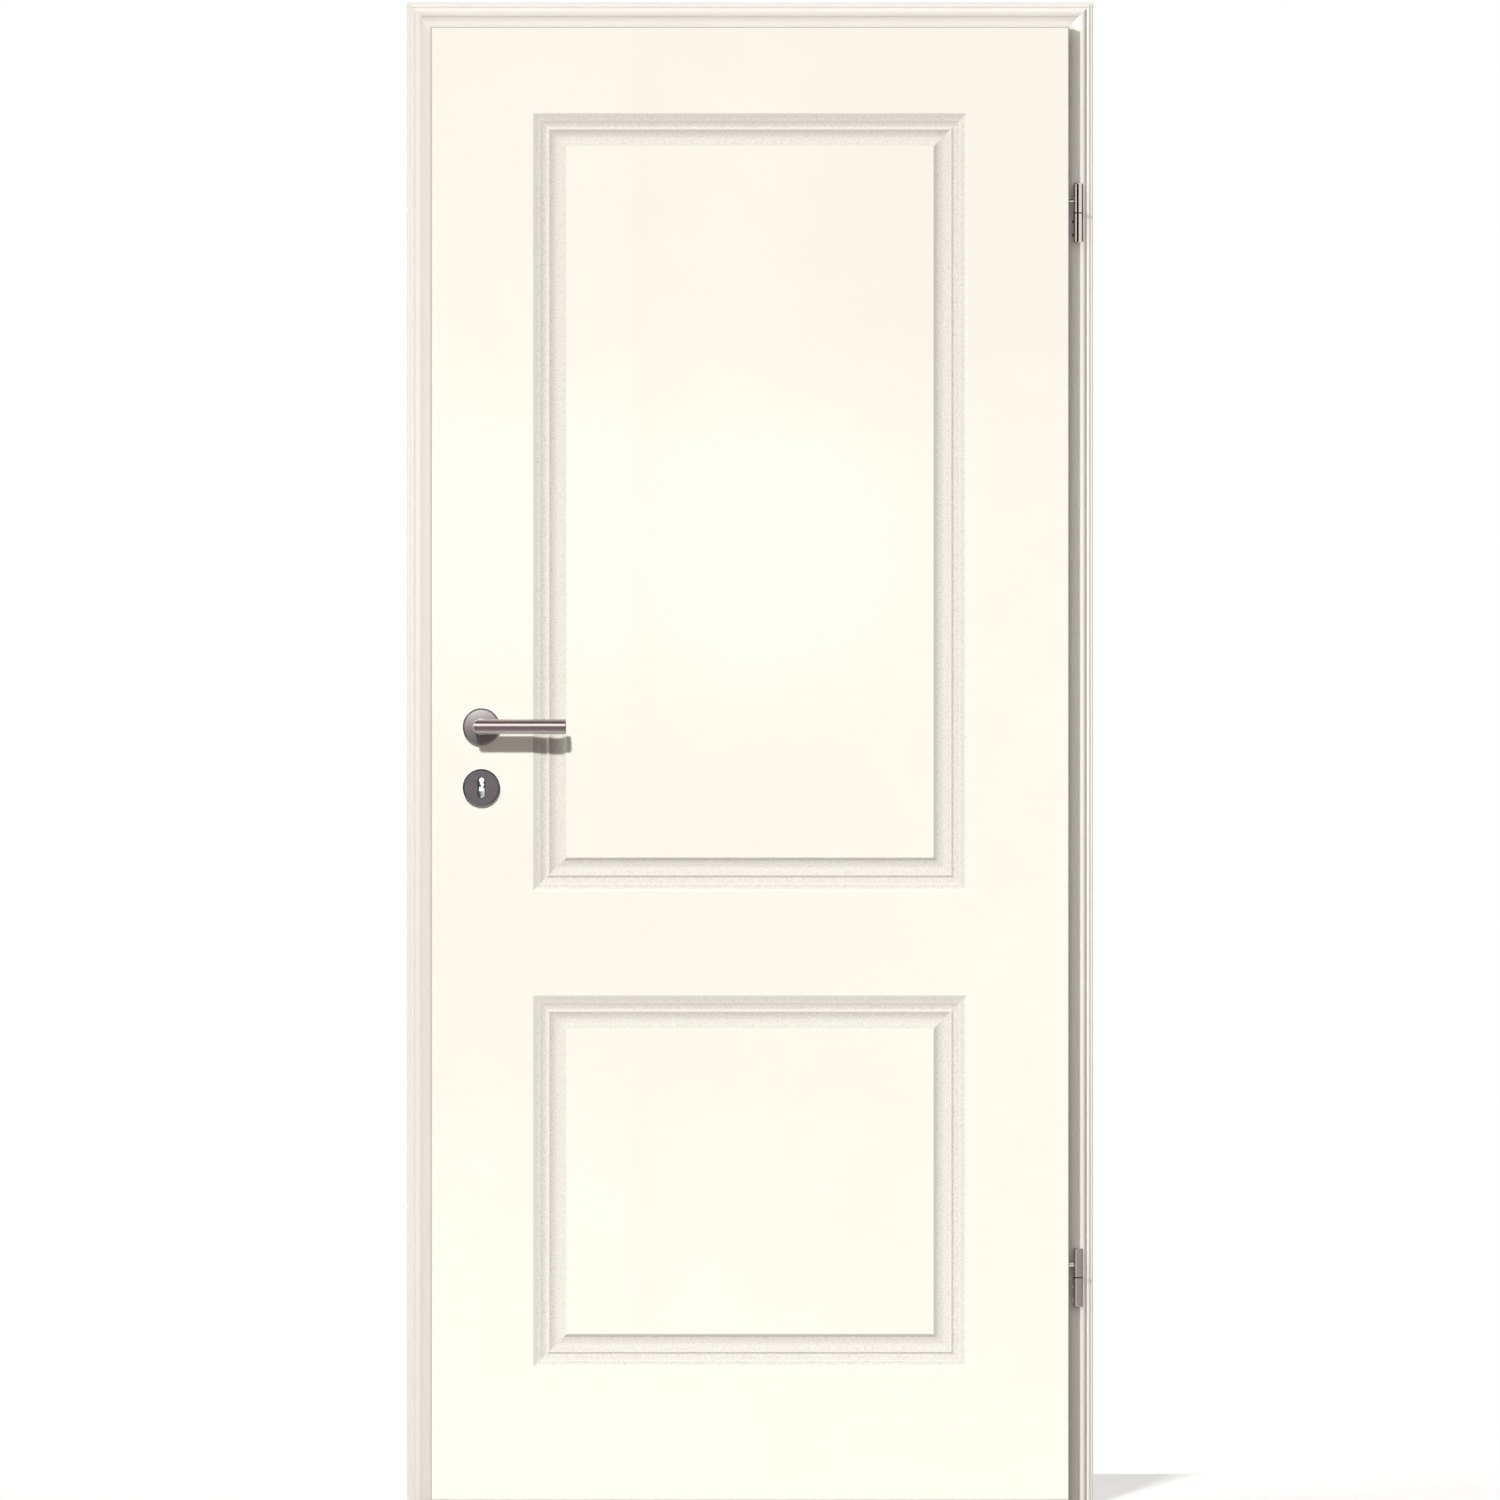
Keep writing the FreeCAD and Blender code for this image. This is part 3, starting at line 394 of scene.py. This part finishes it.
# soft and matt: the seal softens the line in the rebate
seal_rubber = two_tone("extruded seal rubber", "EFEDE6", "E4E2DA", 1.5 * MM, 0.6, 0.03 * MM, ALONG_Z)
dress([name for name in nodes if name.startswith("seal")], seal_rubber)
# honey-coloured wood with long fibres, and pressed flakes: both tell what the door is made of, from below
dress(["bottom_rail"], two_tone("planed spruce", "E0C79C", "C49F6C", 3 * MM, 0.7, 0.15 * MM, (0.05, 1.0, 1.0)))
dress(["leaf_core"], two_tone("chipboard", "CDB48A", "9C8058", 4 * MM, 0.85, 0.3 * MM))
# smooth plastic: a white line round the lever's neck, and a dark one in the hinge
white_nylon = two_tone("moulded nylon, natural white", "F3F2EE", "EBEAE5", 2 * MM, 0.35, 0.01 * MM)
dark_nylon = two_tone("moulded nylon, dark", "3A3432", "2E2928", 2 * MM, 0.4, 0.01 * MM)
bare = [name for name in nodes if not nodes[name].data.materials[0].use_nodes]
print("pieces without a material of their own:", bare)

# %% [markdown]
# ## Small fittings
# A few small things make the hardware look like hardware: a nylon ring where each lever's neck turns in its rose, a
# grub screw under the neck, a bearing ring between the two halves of each hinge, and screws in the strike plate and
# the forend. Rings are turned on a lathe, so a profile is drawn and spun round its axis. A screw's head is two
# circles bridged into a crown, with a six-sided circle inside it that is bridged down into a socket.


# %% Rings and screws
def place_piece(name, mesh_maker, outwards, centre, material, body):
    """Turns a shape that was made along z so that z points outwards, puts it in place and lets it ride on a body."""
    bmesh.ops.recalc_face_normals(mesh_maker, faces=mesh_maker.faces)
    bmesh.ops.rotate(mesh_maker, matrix=outwards.to_track_quat("Z", "Y").to_matrix(), verts=mesh_maker.verts)
    bmesh.ops.translate(mesh_maker, vec=centre, verts=mesh_maker.verts)
    mesh = bpy.data.meshes.new(name)
    mesh_maker.to_mesh(mesh)
    mesh_maker.free()
    mesh.materials.append(material)
    thing = bpy.data.objects.new(name, mesh)
    bpy.context.scene.collection.objects.link(thing)
    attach(thing, body)


def ring(name, outwards, centre, inner, outer, thickness, material, body):
    """A turned ring with a chamfered outer rim, that starts at centre and rises outwards."""
    ease = min(thickness, outer - inner) / 3
    lathe = bmesh.new()
    profile = [(inner, 0), (outer, 0), (outer, thickness - ease), (outer - ease, thickness), (inner, thickness)]
    corners = [lathe.verts.new((across, 0, up)) for across, up in profile]
    edges = [lathe.edges.new((a, b)) for a, b in zip(corners, corners[1:] + corners[:1])]
    bmesh.ops.spin(
        lathe, geom=corners + edges, axis=(0, 0, 1), cent=(0, 0, 0), angle=math.tau, steps=RING_STEPS, use_merge=True
    )
    for face in lathe.faces:
        face.smooth = False
    place_piece(name, lathe, outwards, centre, material, body)


def screw(name, outwards, centre, radius, rise, material, body):
    """The head of a socket screw, whose underside is at centre and whose crown rises outwards."""
    head = bmesh.new()
    rings = []
    for sides, share, up in ((24, 1.0, 0), (24, 0.94, 0.35), (24, 0.66, 1.0), (6, 0.42, 1.0), (6, 0.42, 0.3)):
        made = bmesh.ops.create_circle(head, cap_ends=up in (0, 0.3), segments=sides, radius=radius * share)
        bmesh.ops.translate(head, vec=(0, 0, rise * up), verts=made["verts"])
        around = set(made["verts"])
        rings.append([edge for edge in head.edges if set(edge.verts) <= around])
    for lower, upper in zip(rings, rings[1:]):
        bmesh.ops.bridge_loops(head, edges=lower + upper)
    place_piece(name, head, outwards, centre, material, body)


RING_STEPS = 64
TO_FRONT, TO_BACK = Vector((0, -1, 0)), Vector((0, 1, 0))
NECK_RADIUS = 10 * MM
GUIDE_RING = (0.05 * MM, 1.0 * MM, 0.4 * MM)  # clearance round the neck, width and rise over the rose
for side, outwards in (("front", TO_FRONT), ("back", TO_BACK)):
    low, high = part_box(side + "_lever_rose")
    seat = Vector(((low.x + high.x) / 2, low.y if side == "front" else high.y, (low.z + high.z) / 2))
    inner = NECK_RADIUS + GUIDE_RING[0]
    ring(side + "_neck_guide_ring", outwards, seat, inner, inner + GUIDE_RING[1], GUIDE_RING[2], white_nylon, "levers")
    under_neck = seat + outwards * 12 * MM - Vector((0, 0, NECK_RADIUS))
    screw(side + "_lever_grub_screw", Vector((0, 0, -1)), under_neck, 2.5 * MM, 0.2 * MM, stainless, "levers")
KNUCKLE_RADIUS = 6.75 * MM
RING_PLAY = 0.03 * MM
for place_name in ("upper", "lower"):
    low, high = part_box(place_name + "_hinge_leaf_part")
    seat = Vector((high.x - KNUCKLE_RADIUS, low.y + KNUCKLE_RADIUS, low.z - JOINT_GAP + RING_PLAY))
    ring(place_name + "_hinge_bearing_ring", Vector((0, 0, 1)), seat, 3.6 * MM, 6.3 * MM, JOINT_GAP - 2 * RING_PLAY,
         dark_nylon, "frame")
plate_low, plate_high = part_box("strike_plate")
forend_low, forend_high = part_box("lock_forend")
lock_middle_y = (forend_low.y + forend_high.y) / 2
for end, strike_z, forend_z in (
    ("upper", plate_high.z - 10 * MM, forend_high.z - 9 * MM),
    ("lower", plate_low.z + 10 * MM, forend_low.z + 9 * MM),
):
    screw(end + "_strike_screw", Vector((1, 0, 0)), Vector((plate_high.x, lock_middle_y, strike_z)), 3.6 * MM,
          0.9 * MM, strip, "frame")
    screw(end + "_forend_screw", Vector((-1, 0, 0)), Vector((forend_low.x, lock_middle_y, forend_z)), 3.6 * MM,
          0.9 * MM, strip, "leaf")

# %% [markdown]
# ## Camera
# In the photograph the door's verticals stay upright and neither side of the lining shows, so the camera stood far
# away and level, straight in front. Thirty metres with a long lens gives the same flat view. How much it sees follows
# from the scale: a leaf of a standard 860 by 1985 mm spans so many pixels that each is 1.3476 mm. The leaf's foot
# lies on the picture's lower edge.

# %% Camera
PHOTO_SIZE = 1500
PIXEL = 1.3476 * MM
PICTURE_BOTTOM = 7 * MM
CAMERA_DISTANCE = 30.0
SENSOR = 36.0  # mm, the width that a lens's focal length refers to
door_middle_x = (cad_bounds[0].x + cad_bounds[1].x) / 2
leaf_face_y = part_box("front_face_board")[0].y
picture_width = PHOTO_SIZE * PIXEL
camera_data = bpy.data.cameras.new("camera")
camera_data.sensor_width = SENSOR
camera_data.lens = SENSOR * CAMERA_DISTANCE / picture_width
camera_data.clip_end = 2 * CAMERA_DISTANCE
camera = bpy.data.objects.new("camera", camera_data)
bpy.context.scene.collection.objects.link(camera)
camera.location = (door_middle_x, leaf_face_y - CAMERA_DISTANCE, PICTURE_BOTTOM + picture_width / 2)
camera.rotation_euler = (math.radians(90), 0, 0)
bpy.context.scene.camera = camera
print("the picture is", round(picture_width, 3), "m wide, through a lens of", round(camera_data.lens), "mm")

# %% [markdown]
# ## White surround
# The ground of the photograph is plain white, as in a catalogue. The world is white for the camera and in mirrors,
# but it throws only a little light. With more, grooves and gaps would fill up and the mouldings would fade away.

# %% World
AMBIENT = 0.08
AMBIENT_TONE = "FFE9E4"  # what little light the shadows get is warm


def seen_ray(tree):
    """1 for what the camera sees, straight, in a mirror or through glass, and 0 for light on its way."""
    rays = add(tree, "ShaderNodeLightPath").outputs
    seen = add(tree, "ShaderNodeMath", {0: rays["Is Camera Ray"], 1: rays["Is Glossy Ray"]}, operation="MAXIMUM")
    seen = add(tree, "ShaderNodeMath", {0: seen.outputs[0], 1: rays["Is Transmission Ray"]}, operation="MAXIMUM")
    return seen.outputs[0]


world = bpy.data.worlds.new("studio")
world.use_nodes = True
tree = world.node_tree
tree.nodes.clear()
seen = seen_ray(tree)
strength = add(tree, "ShaderNodeMapRange", {"Value": seen, "To Min": AMBIENT, "To Max": 1.0})
tone = add(tree, "ShaderNodeMix", {"Factor": seen, 6: paint(AMBIENT_TONE), 7: paint("FFFFFF")}, data_type="RGBA")
sky = add(tree, "ShaderNodeBackground", {"Color": tone.outputs[2], "Strength": strength.outputs["Result"]})
add(tree, "ShaderNodeOutputWorld", {"Surface": sky.outputs[0]})
bpy.context.scene.world = world
print("surround is white to the eye and gives", AMBIENT, "of that as light")

# %% [markdown]
# ## Floor
# A door in its frame would stand in a wall. Here it stands free, and only its shadow on a floor keeps it from
# floating. The floor is a painted sheet, nearly as white as the ground, so that its far edge hardly shows. The
# photograph ends at the door's foot, so in the main picture none of this is seen.

# %% Floor
FLOOR_HALF = 1.6
FLOOR_SEEN = ("FFFFFF", "FBFBF9")  # faint clouds, as rolled paint has
FLOOR_BOUNCE = "7A7876"  # what the door sees of it, so that its foot isn't lit more than its head
floor_mesh = bpy.data.meshes.new("floor")
sheet = bmesh.new()
bmesh.ops.create_grid(sheet, x_segments=1, y_segments=1, size=FLOOR_HALF)
bmesh.ops.translate(sheet, vec=(door_middle_x, -0.4, -0.5 * MM), verts=sheet.verts)
sheet.to_mesh(floor_mesh)
sheet.free()
floor = bpy.data.objects.new("floor", floor_mesh)
bpy.context.scene.collection.objects.link(floor)
floor_paint, tree = new_material("painted studio floor")
place = add(tree, "ShaderNodeTexCoord").outputs["Object"]
cloud = add(tree, "ShaderNodeTexNoise", {"Vector": place, "Scale": 3.0}).outputs["Fac"]
pale = add(tree, "ShaderNodeMix", {"Factor": cloud, 6: paint(FLOOR_SEEN[0]), 7: paint(FLOOR_SEEN[1])}, data_type="RGBA")
tone = add(
    tree, "ShaderNodeMix", {"Factor": seen_ray(tree), 6: paint(FLOOR_BOUNCE), 7: pale.outputs[2]}, data_type="RGBA"
)
finish_material(tree, add(tree, "ShaderNodeBsdfPrincipled", {"Base Color": tone.outputs[2], "Roughness": 0.8}))
floor_mesh.materials.append(floor_paint)
floor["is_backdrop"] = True
print("floor", 2 * FLOOR_HALF, "m across")

# %% [markdown]
# ## Lamps, and who is lit by what
# In the picture, the lever's shadow on the leaf falls almost straight down, while the mouldings and the frame are
# modelled by light that rakes in from the left, as with several lamps in a studio. Each lamp is a sun, so that its
# shadow's direction is the same all over the door. Light linking then says which pieces a lamp lights, and which
# ones cast a shadow in it. On the hinge side the leaf's edge throws a shadow on the casing, which is darkest next to
# the leaf: a hard lamp sets its width, and a soft one from the left lets light in from its far end. Two lamps behind
# the door keep its back and its sides bright in the other views.


# %% Lamps
def group(title, members):
    """A collection that a lamp's light linking reads."""
    collection = bpy.data.collections.new(title)
    for member in members:
        collection.objects.link(member)
    return collection


def sun(name, shadow_shift, level, softness, lights=None, blocked_by=None):
    """A distant lamp. shadow_shift is how far right, back and up a shadow moves; level is what it adds to a surface
    that faces straight along y, where 1 shows a colour as it is written; softness is in degrees."""
    travel = Vector(shadow_shift)
    lamp_data = bpy.data.lights.new(name, "SUN")
    lamp_data.energy = level * math.pi * travel.length / abs(travel.y)
    lamp_data.angle = math.radians(softness)
    lamp = bpy.data.objects.new(name, lamp_data)
    bpy.context.scene.collection.objects.link(lamp)
    lamp.rotation_mode = "QUATERNION"
    lamp.rotation_quaternion = travel.to_track_quat("-Z", "Y")
    if lights:
        lamp.light_linking.receiver_collection = lights
    if blocked_by:
        lamp.light_linking.blocker_collection = blocked_by
    return lamp


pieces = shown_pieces()
on_frame = [p for p in pieces if p.name in foiled]
hinge_side = [p for p in on_frame if "hinge" in p.name]
mirrored_only = levers + hinges  # the cards light these, and a lamp would only add a hard spot
off_frame = [p for p in pieces if p not in on_frame and p.name not in mirrored_only]
boards = [nodes[name] for name in ("front_face_board", "back_face_board")]
hinge_group = group("hinge side of the frame", hinge_side)
head_group = group("head and latch side of the frame", [p for p in on_frame if p not in hinge_side])
leaf_group = group("leaf and floor", off_frame + [floor])
board_group = group("face boards", boards)
lever_rose_group = group("lever roses", [nodes[name] for name in lever_roses])
key_rose_group = group("key roses", [nodes[name] for name in key_roses])
no_hinges = group("all but the hinges", [p for p in pieces if p.name not in hinges])
sun("key lamp on the leaf", (0.12, 1.0, -0.475), 0.735, 3, lights=leaf_group)
sun("raking lamp on the leaf", (1.5, 1.0, -0.35), 0.13, 20, lights=leaf_group, blocked_by=board_group)
sun("key lamp on the frame's hinge side", (1.06, 1.0, -0.42), 0.4, 3, lights=hinge_group, blocked_by=no_hinges)
sun("key lamp on the rest of the frame", (0.4, 1.0, -0.8), 0.32, 12, lights=head_group)
sun("soft lamp on the hinge side", (0.38, 1.0, -0.3), 0.5, 95, lights=hinge_group)
sun("soft lamp on the rest of the frame", (0.0, 1.0, -0.4), 0.57, 100, lights=head_group)
sun("back lamp on the right", (-0.9, -1.0, -0.5), 0.45, 20)
sun("back lamp on the left", (0.9, -1.0, -0.5), 0.45, 20)
sun("rim lamp on the lever roses", (-1.0, 0.35, -1.0), 0.37, 100, lights=lever_rose_group)
sun("rim lamp on the key roses", (-1.0, 0.35, 1.0), 0.35, 100, lights=key_rose_group)
print(len(on_frame), "pieces in the frame's light,", len(off_frame), "in the leaf's")


# %% [markdown]
# ## Cards for the metal to mirror
# A mirror shows what stands round it, so polished and brushed pieces are lit with cards and not with lamps, as a
# photographer of silverware does it. Each card here is seen in reflections only: it throws no light on the lacquer,
# and no shadow. Which card shows where follows from the mirror's law. A round bar turns its surface through 180
# degrees from edge to edge, so it sees the whole room as stripes, squeezed together towards its edges: a card at
# azimuth a shows where the surface is turned by a / 2.


# %% Cards
def card(name, around, axis, start, end, length, distance, level, shade="FFFFFF"):
    """A card bent round a piece, so that each of its strips faces the piece. Round the z axis it runs from azimuth
    start to end, in degrees to the right of straight in front; round the x axis from elevation start to end."""
    sheet = bmesh.new()
    turn = math.radians(start)
    if axis == "Z":
        foot = Vector((math.sin(turn), -math.cos(turn), 0)) * distance
        along, sense = Vector((0, 0, length / 2)), 1
    else:
        foot = Vector((0, -math.cos(turn), math.sin(turn))) * distance
        along, sense = Vector((length / 2, 0, 0)), -1
    edge = [sheet.verts.new(foot - along), sheet.verts.new(foot + along)]
    edge.append(sheet.edges.new(edge))
    steps = max(1, round(abs(end - start) / 10))
    bmesh.ops.spin(
        sheet,
        geom=edge,
        axis=(1, 0, 0) if axis == "X" else (0, 0, 1),
        cent=(0, 0, 0),
        angle=sense * math.radians(end - start),
        steps=steps,
    )
    bmesh.ops.translate(sheet, vec=around, verts=sheet.verts)
    mesh = bpy.data.meshes.new(name)
    sheet.to_mesh(mesh)
    sheet.free()
    material, tree = new_material(name)
    finish_material(tree, add(tree, "ShaderNodeEmission", {"Color": paint(shade), "Strength": level}))
    mesh.materials.append(material)
    thing = bpy.data.objects.new(name, mesh)
    bpy.context.scene.collection.objects.link(thing)
    thing.visible_camera = False
    thing.visible_diffuse = False
    thing.visible_shadow = False
    thing.visible_transmission = False
    thing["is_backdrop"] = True


NEAR = 0.6  # metres from the piece
OVERHEAD = 1.3  # so that the card hangs above the door's head
at_lever = middle("front_lever")
at_upper_hinge, at_lower_hinge = middle("upper_hinge_frame_part"), middle("lower_hinge_leaf_part")
card("low card before the lever", at_lever, "X", -62, -40, 1.0, NEAR, 1.0, "B4ADAA")
card("card before the lever", at_lever, "X", -40, 9, 1.0, NEAR, 1.0, "9F9797")
card("bright card above the lever", at_lever, "X", 11, 42, 1.0, NEAR, 2.3, "FFFAF8")
card("ceiling card over the lever", at_lever, "X", 47, 90, 2.2, OVERHEAD, 1.0, "827B78")
card("card left of the lever", at_lever, "Z", -125, -60, 0.8, NEAR, 1.0, "5A5658")
card("grey card left of the hinges", at_upper_hinge, "Z", -110, -66, 3.0, NEAR, 1.0, "8A8280")
card("dark stripe for the upper hinge", at_upper_hinge, "Z", -38, 10, 0.5, NEAR, 1.0, "1A1214")
card("dark edge for the upper hinge", at_upper_hinge, "Z", 88, 160, 0.5, NEAR, 1.0, "1E1816")
card("light stripe for the lower hinge", at_lower_hinge, "Z", -66, -40, 0.5, NEAR, 1.0, "D2D0D2")
card("card before the lower hinge", at_lower_hinge, "Z", -40, 84, 0.5, NEAR, 1.0, "ACAAAC")
card("card right of the lower hinge", at_lower_hinge, "Z", 84, 130, 0.5, NEAR, 1.0, "8A8887")
print("cards in place")

# %% [markdown]
# ## Finish
# The plain view transform shows each colour about as it was written. The fittings have to stay inside the
# door's own box.

# %% Finish
bpy.context.scene.view_settings.view_transform = "Standard"
